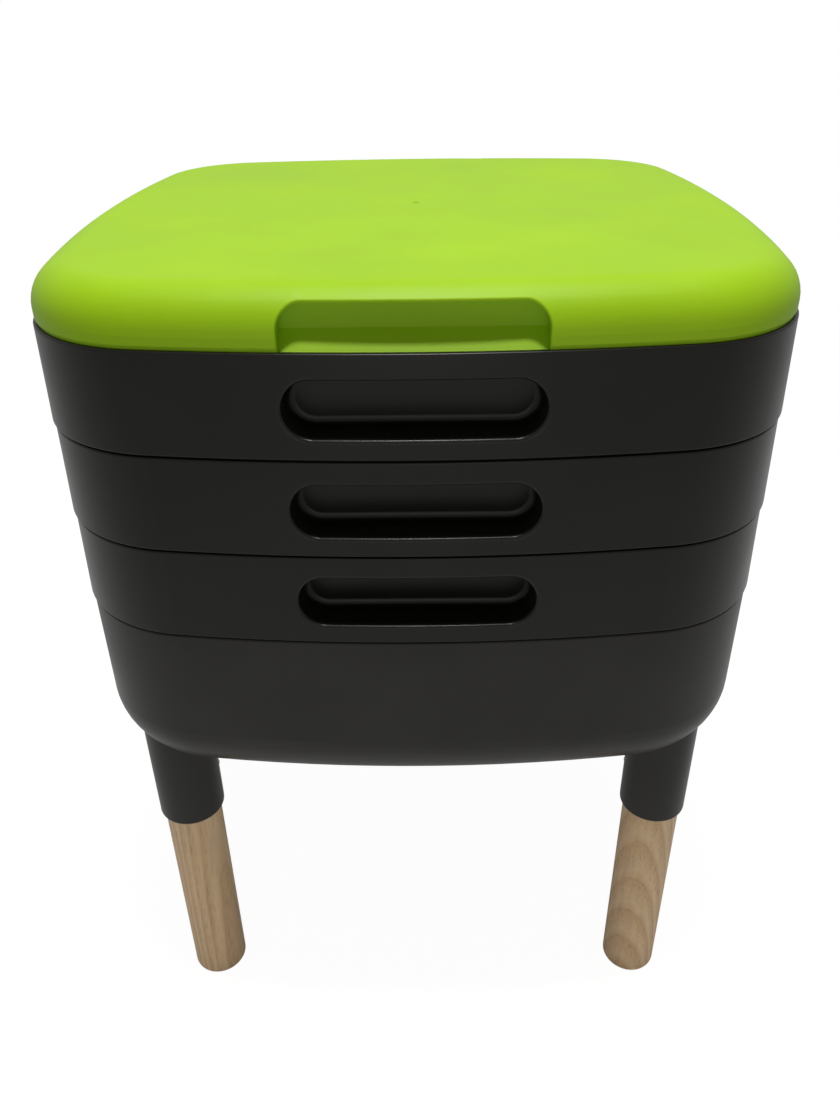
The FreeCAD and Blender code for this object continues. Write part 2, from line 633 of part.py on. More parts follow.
def screw_ring(name, rings, level):
    """Turns a half profile about +X and repeats it on the four diagonals."""
    body = new_body(name)
    sketch = new_sketch(body, f"{name}_half", "XZ_Plane")
    draw_polygon(sketch, "half", rings)
    turned = turn_profile(body, sketch, f"{name}_turned", "H_Axis")
    repeat(body, f"{name}_round", turned, 4)
    return place(body, z=level, turn=45)


screw_height = "screw_level - sleeve_drop"
hole_half = "(screw_shank / 2 + screw_play)"
seat_half = "(screw_head / 2 + 2 * screw_play)"
screw_holes = screw_ring("screw_holes", (
    (f"{sleeve_face} - cut_margin", "0"),
    (f"{sleeve_face} + sleeve_wall + cut_margin", "0"),
    (f"{sleeve_face} + sleeve_wall + cut_margin", hole_half),
    (sleeve_face, hole_half),
    (sleeve_face, seat_half),
    (f"{sleeve_face} - cut_margin", seat_half),
), screw_height)
tap_hole = cylinder("tap_hole", "tap_shank + 2 * tap_hole_play", "wall + 2 * cut_margin",
                    y=f"{pad_face} - wall - cut_margin", z="tap_level", lying=True)
sump_shell = cut("sump_shell", fuse("sump_solid", sump_form, sleeves),
                 fuse("sump_cuts", sump_hollow, niche, sockets, screw_holes, tap_hole))
nodes["sump"] = place(body_on("sump", sump_shell), z="ground_clearance")

# Legs and their screws

for name, x, y, turn in LEG_CORNERS:
    leg = new_body(name)
    leg_plan = new_sketch(leg, f"{name}_plan")
    draw_circle(leg_plan, "leg", "leg_diameter")
    add_pad(leg, leg_plan, f"{name}_pole", "ground_clearance")
    round_edges(leg, f"{name}_foot", "foot_round", lambda edge: lies_at(edge, 0))
    pilot_plan = new_sketch(leg, f"{name}_pilot_plan", "YZ_Plane", "leg_diameter / 2 + cut_margin")
    draw_circle(pilot_plan, "pilot", "screw_shank + 2 * screw_fit",
                y="ground_clearance - sleeve_drop + screw_level")
    add_pad(leg, pilot_plan, f"{name}_pilot",
            "cut_margin + screw_length + screw_seat + 2 * screw_play - leg_fit - sleeve_wall",
            "PartDesign::Pocket")
    half_x = "leg_spacing / 2" if x > 0 else "-leg_spacing / 2"
    half_y = "leg_spacing / 2" if y > 0 else "-leg_spacing / 2"
    nodes[name] = place(leg, half_x, half_y, turn=turn)

shank_half = "screw_shank / 2"
drive_floor = f"{sleeve_face} - screw_head_height + screw_drive_depth"
nodes["leg_screws"] = screw_ring("leg_screws", (
    (drive_floor, "0"),
    (f"{sleeve_face} + screw_length", "0"),
    (f"{sleeve_face} + screw_length - {shank_half}", shank_half),
    (sleeve_face, shank_half),
    (sleeve_face, "screw_head / 2"),
    (f"{sleeve_face} - screw_head_rim", "screw_head / 2"),
    (f"{sleeve_face} - screw_head_height", "screw_head_crown / 2"),
    (f"{sleeve_face} - screw_head_height", "screw_drive / 2"),
    (drive_floor, "screw_drive / 2"),
), f"ground_clearance + {screw_height}")

# Worm ladder: a stepped, slotted tower that props the bottom tray's floor

step_count = round(size["ladder_steps"])
ladder = new_body("worm_ladder")
ladder_sketch = new_sketch(ladder, "ladder_half", "XZ_Plane")
rise = f"((sump_height - wall - spigot_drop) / {step_count})"
tread = f"((ladder_base - ladder_top) / 2 / {step_count - 1})"
outer_steps = []
inner_steps = []
for step in range(step_count):
    radius = f"(ladder_base / 2 - {step} * {tread})"
    below = f"{step} * {rise} - ladder_wall" if step else "0"
    outer_steps.append((radius, f"{step} * {rise}"))
    outer_steps.append((radius, f"{step + 1} * {rise}"))
    inner_steps.append((f"{radius} - ladder_wall", below))
    inner_steps.append((f"{radius} - ladder_wall", f"{step + 1} * {rise} - ladder_wall"))
middle = [("0", f"{step_count} * {rise}"), ("0", f"{step_count} * {rise} - ladder_wall")]
draw_polygon(ladder_sketch, "half", outer_steps + middle + inner_steps[::-1])
turn_profile(ladder, ladder_sketch, "ladder_tower", "V_Axis")
slot_sketch = new_sketch(ladder, "slot_side", "YZ_Plane", "ladder_base / 2 + cut_margin")
slot_top = f"{step_count} * {rise} - ladder_ring"
draw_polygon(slot_sketch, "slot", (("-ladder_slot / 2", "ladder_ring"), ("ladder_slot / 2", "ladder_ring"),
                                   ("ladder_slot / 2", slot_top), ("-ladder_slot / 2", slot_top)))
slot = add_pad(ladder, slot_sketch, "ladder_slot_cut",
               "ladder_base / 2 - ladder_top / 2 + ladder_wall + 2 * cut_margin", "PartDesign::Pocket")
repeat(ladder, "ladder_slots_cut", slot, round(size["ladder_slots"]))
top_sketch = new_sketch(ladder, "ladder_top_plan", "XY_Plane", f"{step_count} * {rise} + cut_margin")
draw_circle(top_sketch, "hole", "ladder_hole", "ladder_top / 4")
top_hole = add_pad(ladder, top_sketch, "ladder_top_hole", "2 * cut_margin + ladder_wall",
                   "PartDesign::Pocket")
repeat(ladder, "ladder_top_holes", top_hole, round(size["ladder_slots"] / 2))
nodes["worm_ladder"] = place(ladder, z="ground_clearance + wall")

# Tap: each piece is drawn with the origin where the shank's axis leaves the niche's back wall

valve_y = "(tap_washer_thickness + tap_flange_thickness + tap_reach)"
shank_back = "(wall + tap_washer_thickness + tap_nut_thickness + tap_shank_end)"
plug_bottom = "(barrel_floor - barrel_half + plug_seat)"
plug_top = "(barrel_half - plug_seat)"
lever_base = "(barrel_half + bonnet_height + lever_gap)"
tap_place = {"y": pad_face, "z": "ground_clearance + tap_level"}

tap_solid = fuse(
    "tap_solid",
    cylinder("tap_shank_form", "tap_shank", f"{shank_back} + tap_washer_thickness + tap_flange_thickness",
             y=f"-{shank_back}", lying=True),
    cylinder("tap_flange_form", "tap_flange", "tap_flange_thickness", y="tap_washer_thickness", lying=True),
    cylinder("tap_neck_form", "tap_shank", "tap_flange_thickness + tap_reach",
             y="tap_washer_thickness", lying=True),
    cylinder("tap_barrel_form", "barrel_diameter", "2 * barrel_half", y=valve_y, z="-barrel_half"),
    cylinder("tap_spout_form", "spout_diameter", "spout_length + barrel_floor",
             y=valve_y, z="-barrel_half - spout_length"),
)
tap_cuts = fuse(
    "tap_cuts",
    cylinder("tap_bore_form", "tap_bore", f"{shank_back} + {valve_y} + cut_margin",
             y=f"-{shank_back} - cut_margin", lying=True),
    cylinder("tap_barrel_bore", "plug_diameter + 2 * plug_fit", "2 * barrel_half - barrel_floor + cut_margin",
             y=valve_y, z="barrel_floor - barrel_half"),
    cylinder("tap_spout_bore", "tap_bore", "spout_length + barrel_half + cut_margin",
             y=valve_y, z="-barrel_half - spout_length - cut_margin"),
)
tap_body = body_on("tap_body", cut("tap_shell", tap_solid, tap_cuts))
spout_level = -size["barrel_half"] - size["spout_length"]
round_edges(tap_body, "spout_mouth", "spout_round", lambda edge: lies_at(edge, spout_level)
            and edge.BoundBox.XLength > size["tap_bore"] + 1)
nodes["tap_body"] = place(tap_body, **tap_place)


def tap_ring(name, outside, thickness, start):
    """Makes a ring round the tap's shank, from a place along it."""
    ring = cylinder(f"{name}_form", outside, thickness, y=start, lying=True)
    bore = cylinder(f"{name}_bore", "tap_shank + 2 * tap_nut_fit", f"({thickness}) + 2 * cut_margin",
                    y=f"({start}) - cut_margin", lying=True)
    nodes[name] = place(body_on(name, cut(f"{name}_ring", ring, bore)), **tap_place)


tap_ring("tap_washer_outer", "tap_washer", "tap_washer_thickness", "0")
tap_ring("tap_washer_inner", "tap_washer", "tap_washer_thickness", "-wall - tap_washer_thickness")

nut_start = "(-wall - tap_washer_thickness - tap_nut_thickness)"
nut_form = document.addObject("Part::Prism", "tap_nut_form")
nut_form.Polygon = 6
bind(nut_form, "Circumradius", "tap_nut / sqrt(3)")
bind(nut_form, "Height", "tap_nut_thickness")
place(nut_form, y=nut_start, turn=-90, axis=FreeCAD.Vector(1, 0, 0))
nut_bore = cylinder("tap_nut_bore", "tap_shank + 2 * tap_nut_fit", "tap_nut_thickness + 2 * cut_margin",
                    y=f"{nut_start} - cut_margin", lying=True)
nodes["tap_nut"] = place(body_on("tap_nut", cut("tap_nut_ring", nut_form, nut_bore)), **tap_place)

# The plug is hollow below and has one window, which faces sideways while the tap is shut.
stem_top = "(barrel_half + bonnet_height + lever_gap + lever_height - lever_web)"
flat_offset = "plug_stem_flat / 2 + cut_margin / 2"
seal_level = "(tap_bore / 2 + seal_section)"
seal_reach = "(plug_diameter - seal_section) / 2"
groove_height = "(seal_section + 2 * seal_play)"
groove_root = "plug_diameter - 2 * seal_section - seal_play"
groove = cut(
    "plug_groove",
    cylinder("groove_round", "plug_diameter + cut_margin", groove_height,
             z=f"{seal_level} - {groove_height} / 2"),
    cylinder("groove_core", groove_root, f"{groove_height} + 2 * cut_margin",
             z=f"{seal_level} - {groove_height} / 2 - cut_margin"),
)
plug_form = fuse(
    "plug_form",
    cylinder("plug_barrel", "plug_diameter", f"{plug_top} - {plug_bottom}", z=plug_bottom),
    cylinder("plug_stem_form", "plug_stem", f"{stem_top} - {plug_top}", z=plug_top),
)
plug_cuts = fuse(
    "plug_cuts",
    cylinder("plug_bore", "tap_bore", f"tap_bore / 2 - {plug_bottom} + cut_margin",
             z=f"{plug_bottom} - cut_margin"),
    place(cylinder("plug_window_form", "plug_window", "plug_diameter"),
          turn=-90, axis=FreeCAD.Vector(0, 1, 0)),
    cylinder("plug_screw_hole", "lever_screw + 2 * screw_fit", "lever_screw_length + cut_margin",
             z=f"{stem_top} + lever_web - lever_screw_length - screw_play"),
    groove,
    box("plug_flat_rear", "2 * plug_stem", "cut_margin", "lever_height", y=flat_offset, z=lever_base),
    box("plug_flat_front", "2 * plug_stem", "cut_margin", "lever_height", y=f"-({flat_offset})",
        z=lever_base),
)
valve_place = {"y": f"{pad_face} + {valve_y}", "z": "ground_clearance + tap_level"}
nodes["tap_plug"] = place(body_on("tap_plug", cut("plug_shape", plug_form, plug_cuts)), **valve_place)
seal = document.addObject("Part::Torus", "tap_plug_seal")
bind(seal, "Radius1", seal_reach)
bind(seal, "Radius2", "seal_section / 2")
nodes["tap_plug_seal"] = place(seal, y=valve_place["y"], z=f"{valve_place['z']} + {seal_level}")

# The cap over the barrel, fluted for the fingers
cap_bottom = "(tap_shank / 2 + bonnet_gap)"
cap = new_body("tap_bonnet")
cap_plan = new_sketch(cap, "cap_plan", "XY_Plane", cap_bottom)
draw_circle(cap_plan, "cap", "bonnet_diameter")
add_pad(cap, cap_plan, "cap_block", f"barrel_half + bonnet_height - {cap_bottom}")
round_edges(cap, "cap_edge", "lever_round",
            lambda edge: lies_at(edge, size["barrel_half"] + size["bonnet_height"]))
cap_room_plan = new_sketch(cap, "cap_room_plan", "XY_Plane", "barrel_half")
draw_circle(cap_room_plan, "room", "barrel_diameter + 2 * plug_fit")
add_pad(cap, cap_room_plan, "cap_room", f"barrel_half - {cap_bottom} + cut_margin", "PartDesign::Pocket")
cap_hole_plan = new_sketch(cap, "cap_hole_plan", "XY_Plane", "barrel_half + bonnet_height + cut_margin")
draw_circle(cap_hole_plan, "hole", "plug_stem + 2 * plug_fit")
add_pad(cap, cap_hole_plan, "cap_hole", "bonnet_height + 2 * cut_margin", "PartDesign::Pocket")
flute_plan = new_sketch(cap, "flute_plan", "XY_Plane", "barrel_half + bonnet_height + cut_margin")
draw_circle(flute_plan, "flute", "bonnet_flute", "bonnet_diameter / 2")
flute = add_pad(cap, flute_plan, "flute", f"barrel_half + bonnet_height - {cap_bottom} + 2 * cut_margin",
                "PartDesign::Pocket")
repeat(cap, "flutes", flute, round(size["bonnet_flutes"]))
nodes["tap_bonnet"] = place(cap, **valve_place)

# The lever points sideways while the tap is shut.
blade_base = f"({lever_base} + (lever_height - lever_thickness) / 2)"
blade_length = "(lever_length - lever_width / 2)"
lever_form = fuse(
    "lever_form",
    cylinder("lever_hub_form", "lever_hub", "lever_height", z=lever_base),
    box("lever_blade", blade_length, "lever_width", "lever_thickness",
        x=f"{blade_length} / 2", z=blade_base),
    cylinder("lever_tip", "lever_width", "lever_thickness", x=blade_length, z=blade_base),
)
stem_form = fuse(
    "stem_form",
    cut("stem_socket",
        cylinder("stem_socket_round", "plug_stem + 2 * plug_fit", "lever_height - lever_web + cut_margin",
                 z=f"{lever_base} - cut_margin"),
        fuse("stem_socket_flats",
             box("stem_flat_rear", "2 * plug_stem", "cut_margin", "lever_height + cut_margin",
                 y=f"{flat_offset} + plug_fit", z=f"{lever_base} - cut_margin"),
             box("stem_flat_front", "2 * plug_stem", "cut_margin", "lever_height + cut_margin",
                 y=f"-({flat_offset} + plug_fit)", z=f"{lever_base} - cut_margin"))),
    cylinder("lever_screw_hole", "lever_screw + 2 * screw_play", "lever_web + 2 * cut_margin", z=stem_top),
)
lever = body_on("tap_lever", cut("lever_shape", lever_form, stem_form))
hub_top = size["barrel_half"] + size["bonnet_height"] + size["lever_gap"] + size["lever_height"]
round_edges(lever, "hub_edge", "lever_round",
            lambda edge: lies_at(edge, hub_top) and edge.BoundBox.XLength > size["lever_screw_head"])
nodes["tap_lever"] = place(lever, **valve_place)

pin = new_body("tap_lever_screw")
pin_sketch = new_sketch(pin, "pin_half", "XZ_Plane")
pin_seat = f"({stem_top} + lever_web)"
pin_top = f"{pin_seat} + lever_screw_head_height"
draw_polygon(pin_sketch, "half", (
    ("0", f"{pin_seat} - lever_screw_length"),
    ("lever_screw / 2", f"{pin_seat} - lever_screw_length + lever_screw / 2"),
    ("lever_screw / 2", pin_seat),
    ("lever_screw_head / 2", pin_seat),
    ("lever_screw_head / 2", f"{pin_seat} + lever_screw_head_rim"),
    ("lever_screw_head_crown / 2", pin_top),
    ("lever_screw_drive / 2", pin_top),
    ("lever_screw_drive / 2", f"{pin_top} - lever_screw_drive_depth"),
    ("0", f"{pin_top} - lever_screw_drive_depth"),
))
turn_profile(pin, pin_sketch, "pin_turned", "V_Axis")
nodes["tap_lever_screw"] = place(pin, **valve_place)

document.recompute()
for item in document.Objects:
    if "Invalid" in item.State or "Error" in item.State:
        raise RuntimeError(f"{item.Label} could not be built: {item.State}")
os.makedirs("parts", exist_ok=True)
for name, item in nodes.items():
    item.Label = name
    shape = item.Shape
    solids = 4 if name == "leg_screws" else 1
    if shape.isNull() or not shape.isValid() or len(shape.Solids) != solids:
        raise RuntimeError(f"{name} has no sound shape")
    shape.exportStep(f"parts/{name}.step")
    print(f"{name}: {shape.Volume / 1000:.1f} cubic centimetres")
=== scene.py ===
# A wormery: a lime green lid on a stack of three black trays and a sump, on four oak legs.
# Lengths are in metres unless a name or a comment says millimetres. The front faces -Y.
import bmesh
import bpy
import math
from mathutils import Matrix, Vector


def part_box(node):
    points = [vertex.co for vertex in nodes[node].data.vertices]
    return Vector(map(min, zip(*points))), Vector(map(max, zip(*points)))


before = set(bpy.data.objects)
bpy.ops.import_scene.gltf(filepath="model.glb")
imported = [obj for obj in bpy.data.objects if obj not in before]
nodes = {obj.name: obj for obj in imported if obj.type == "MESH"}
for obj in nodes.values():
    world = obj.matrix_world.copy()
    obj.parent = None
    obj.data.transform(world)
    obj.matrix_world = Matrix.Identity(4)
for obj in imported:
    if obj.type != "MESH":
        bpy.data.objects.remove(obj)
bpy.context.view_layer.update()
mm = 0.001
print("frame loaded:", len(nodes), "nodes")


# Helpers that every material uses

def toLinear(hexColour):
    # sRGB hex to the linear colour that the shaders take
    parts = [int(hexColour[i:i + 2], 16) / 255 for i in (1, 3, 5)]
    linear = [p / 12.92 if p <= 0.04045 else ((p + 0.055) / 1.055) ** 2.4 for p in parts]
    return (*linear, 1)


def grey(value):
    return (value, value, value, 1)


def perMm(size):
    # the noise scale whose features are about this many millimetres across
    return 1 / (size * mm)


def fillRamp(ramp, stops):
    for index, (position, colour) in enumerate(stops):
        stop = ramp.elements[index] if index < 2 else ramp.elements.new(position)
        stop.position = position
        stop.color = colour


def addNode(tree, kind, settings=None, links=None):
    # a setting is a ramp's stops, one of the node's own settings, or the value of an unlinked socket
    node = tree.nodes.new(kind)
    for name, value in (settings or {}).items():
        if name == "stops":
            fillRamp(node.color_ramp, value)
        elif isinstance(name, str) and hasattr(node, name):
            setattr(node, name, value)
        else:
            node.inputs[name].default_value = value
    for socket, source in (links or {}).items():
        tree.links.new(source, node.inputs[socket])
    return node


def newMaterial(name):
    # an empty material: its tree, the piece's own coordinates, and the socket that its shader goes to
    material = bpy.data.materials.new(name)
    material.use_nodes = True
    tree = material.node_tree
    tree.nodes.clear()
    surface = addNode(tree, "ShaderNodeOutputMaterial").inputs["Surface"]
    place = addNode(tree, "ShaderNodeTexCoord").outputs["Object"]
    return material, tree, place, surface


def dress(material, *names):
    for name in names:
        finish = nodes[name].data.materials
        finish.clear()
        finish.append(material)


# Moulded plastics: sizes and depths in millimetres

# Polypropylene, injection moulded in a spark-eroded tool: satin, with a fine even grain, and a broad soft
# cloudiness where the melt cooled unevenly, which shifts its colour and its gloss a little.
# The real grain is about 0.15 mm, which is too fine to show, so it is drawn coarser here.
lidPlastic = {"colour": "#A6D31A", "shade": "#9FCC12", "grain": 0.7, "grainDepth": 0.02, "cloud": 70,
              "roughLow": 0.42, "roughHigh": 0.50, "ior": 1.49, "gloss": 0.2}
trayPlastic = {"colour": "#16150F", "shade": "#11100C", "grain": 0.9, "grainDepth": 0.02, "cloud": 60,
               "roughLow": 0.29, "roughHigh": 0.35, "ior": 1.49, "gloss": 0.25}
# the sump is a greyer black than the trays, and is also drawn lighter: that lightness is painted light,
# standing in for the light that the floor throws up onto the lower parts
sumpPlasticWithPaintedLight = {"colour": "#3A3937", "shade": "#343331", "grain": 0.9, "grainDepth": 0.02, "cloud": 60,
               "roughLow": 0.34, "roughHigh": 0.42, "ior": 1.49, "gloss": 0.14}
ladderPlastic = {"colour": "#22221F", "shade": "#1C1C1A", "grain": 0.8, "grainDepth": 0.03, "cloud": 40,
                 "roughLow": 0.50, "roughHigh": 0.60, "ior": 1.49, "gloss": 0.2}
tapPlastic = {"colour": "#1A1A1A", "shade": "#151515", "grain": 0.5, "grainDepth": 0.015, "cloud": 25,
              "roughLow": 0.34, "roughHigh": 0.44, "ior": 1.49, "gloss": 0.25}
# Nylon, injection moulded, tougher and a little more matt than the tap's body
leverPlastic = {"colour": "#222222", "shade": "#1C1C1C", "grain": 0.4, "grainDepth": 0.02, "cloud": 20,
                "roughLow": 0.45, "roughHigh": 0.55, "ior": 1.53, "gloss": 0.25}
# Acetal, turned: smooth, waxy and off-white
plugPlastic = {"colour": "#DEDDD6", "shade": "#D3D2CA", "grain": 0.6, "grainDepth": 0.005, "cloud": 15,
               "roughLow": 0.24, "roughHigh": 0.32, "ior": 1.48, "gloss": 0.5}
# what all the plastics share: how soft each pattern is, and which part of the noise it uses
plasticPattern = {"cloudDetail": 3.0, "grainDetail": 2.0, "grainRough": 0.6, "shadeEnds": (0.3, 0.7),
                  "roughEnds": (0.25, 0.75)}


def mouldedPlastic(name, look):
    material, tree, place, surface = newMaterial(name)
    cloud = addNode(tree, "ShaderNodeTexNoise", {"Scale": perMm(look["cloud"]),
                    "Detail": plasticPattern["cloudDetail"]}, {"Vector": place}).outputs["Fac"]
    speck = addNode(tree, "ShaderNodeTexNoise", {"Scale": perMm(look["grain"]),
                    "Detail": plasticPattern["grainDetail"], "Roughness": plasticPattern["grainRough"]},
                    {"Vector": place}).outputs["Fac"]
    low, high = plasticPattern["shadeEnds"]
    tint = addNode(tree, "ShaderNodeValToRGB", {"stops": [(low, toLinear(look["shade"])),
                   (high, toLinear(look["colour"]))]}, {"Fac": cloud}).outputs["Color"]
    low, high = plasticPattern["roughEnds"]
    rough = addNode(tree, "ShaderNodeMapRange", {"From Min": low, "From Max": high,
                    "To Min": look["roughLow"], "To Max": look["roughHigh"]},
                    {"Value": cloud}).outputs["Result"]
    bump = addNode(tree, "ShaderNodeBump", {"Strength": 1.0, "Distance": look["grainDepth"] * mm},
                   {"Height": speck}).outputs["Normal"]
    shader = addNode(tree, "ShaderNodeBsdfPrincipled", {"IOR": look["ior"],
                     "Specular IOR Level": look["gloss"]},
                     {"Base Color": tint, "Roughness": rough, "Normal": bump}).outputs[0]
    tree.links.new(shader, surface)
    return material


dress(mouldedPlastic("lidPolypropylene", lidPlastic), "lid")
dress(mouldedPlastic("trayPolypropylene", trayPlastic), "tray_bottom", "tray_middle", "tray_top")
dress(mouldedPlastic("sumpPolypropyleneWithPaintedLight", sumpPlasticWithPaintedLight), "sump")
dress(mouldedPlastic("ladderPolypropylene", ladderPlastic), "worm_ladder")
dress(mouldedPlastic("tapPolypropylene", tapPlastic), "tap_body", "tap_bonnet", "tap_nut")
dress(mouldedPlastic("leverNylon", leverPlastic), "tap_lever")
dress(mouldedPlastic("plugAcetal", plugPlastic), "tap_plug")
print("plastics made")


# Rubber and steel: sizes and depths in millimetres

# Nitrile rubber, moulded: nearly black, with a dry matt skin
sealRubber = {"colour": "#151515", "roughLow": 0.67, "roughHigh": 0.83, "ior": 1.52, "grain": 0.4,
              "grainDepth": 0.01, "grainDetail": 3.0}
# Steel, zinc plated: bluish silver with a faint mottle in its colour and its gloss
zincPlate = {"colour": "#C9CCD0", "shade": "#B4B7BC", "shadeEnds": (0.35, 0.65), "spot": 1.2,
             "spotDetail": 4.0, "roughLow": 0.25, "roughHigh": 0.42}


def mouldedRubber(name, look):
    material, tree, place, surface = newMaterial(name)
    speck = addNode(tree, "ShaderNodeTexNoise", {"Scale": perMm(look["grain"]),
                    "Detail": look["grainDetail"]}, {"Vector": place}).outputs["Fac"]
    bump = addNode(tree, "ShaderNodeBump", {"Distance": look["grainDepth"] * mm},
                   {"Height": speck}).outputs["Normal"]
    rough = addNode(tree, "ShaderNodeMapRange", {"To Min": look["roughLow"],
                    "To Max": look["roughHigh"]}, {"Value": speck}).outputs["Result"]
    shader = addNode(tree, "ShaderNodeBsdfPrincipled", {"Base Color": toLinear(look["colour"]),
                     "IOR": look["ior"]}, {"Normal": bump, "Roughness": rough}).outputs[0]
    tree.links.new(shader, surface)
    return material


def platedSteel(name, look):
    material, tree, place, surface = newMaterial(name)
    spot = addNode(tree, "ShaderNodeTexNoise", {"Scale": perMm(look["spot"]),
                   "Detail": look["spotDetail"]}, {"Vector": place}).outputs["Fac"]
    low, high = look["shadeEnds"]
    tint = addNode(tree, "ShaderNodeValToRGB", {"stops": [(low, toLinear(look["shade"])),
                   (high, toLinear(look["colour"]))]}, {"Fac": spot}).outputs["Color"]
    rough = addNode(tree, "ShaderNodeMapRange", {"To Min": look["roughLow"],
                    "To Max": look["roughHigh"]}, {"Value": spot}).outputs["Result"]
    shader = addNode(tree, "ShaderNodeBsdfPrincipled", {"Metallic": 1.0},
                     {"Base Color": tint, "Roughness": rough}).outputs[0]
    tree.links.new(shader, surface)
    return material


dress(mouldedRubber("nitrileRubber", sealRubber), "tap_washer_outer", "tap_washer_inner", "tap_plug_seal")
dress(platedSteel("zincPlatedSteel", zincPlate), "leg_screws", "tap_lever_screw")
print("rubber and steel made")


# Oak legs: sizes and depths in millimetres

# White oak, planed round, sanded and oiled: wide growth rings that show as long flames on one face and
# straight lines on the next, and open pores as fine dark dashes along the grain.
# Real pores are 0.2 to 0.4 mm wide, and are drawn a little wider so that they show.
oak = {
    "early": "#DFB88A", "spring": "#E8C294", "late": "#F2D1A5", "last": "#E6C093", "pore": "#A07C58",
    "colourPlaces": (0.0, 0.30, 0.75, 1.0),    # where the first four colours stand across a ring
    "ring": 4.5, "ringBend": 0.5, "ringDetail": 2.0, "ringDetailSize": 0.6,
    "wander": 3.5, "wanderSize": 22, "wanderDetail": 2.0, "wanderAlong": 0.22,
    "poreWide": 0.55, "poreLong": 11, "poreDetail": 1.0, "poreDepth": 0.12, "poreEnds": (0.56, 0.68),
    "crowdEnds": (0.2, 0.9), "crowd": (0.50, 0.10),    # the pores' strength from early to late wood
    "streakSize": 4, "streakDetail": 4.0, "streakAlong": 0.06, "streakEnds": (0.3, 0.7),
    "streakShade": (0.90, 1.05), "roughLow": 0.44, "roughHigh": 0.60, "ior": 1.5, "gloss": 0.4,
}
# where each leg was cut from the plank: the pith's place beside the leg, and its lean in degrees
legCuts = {
    "leg_front_left": {"pith": (-58, 30), "lean": (1.5, -2.5)},
    "leg_front_right": {"pith": (24, 38), "lean": (-7.0, 4.4)},
    "leg_rear_left": {"pith": (40, 28), "lean": (-3.0, 2.0)},
    "leg_rear_right": {"pith": (-20, -45), "lean": (4.5, 2.0)},
}


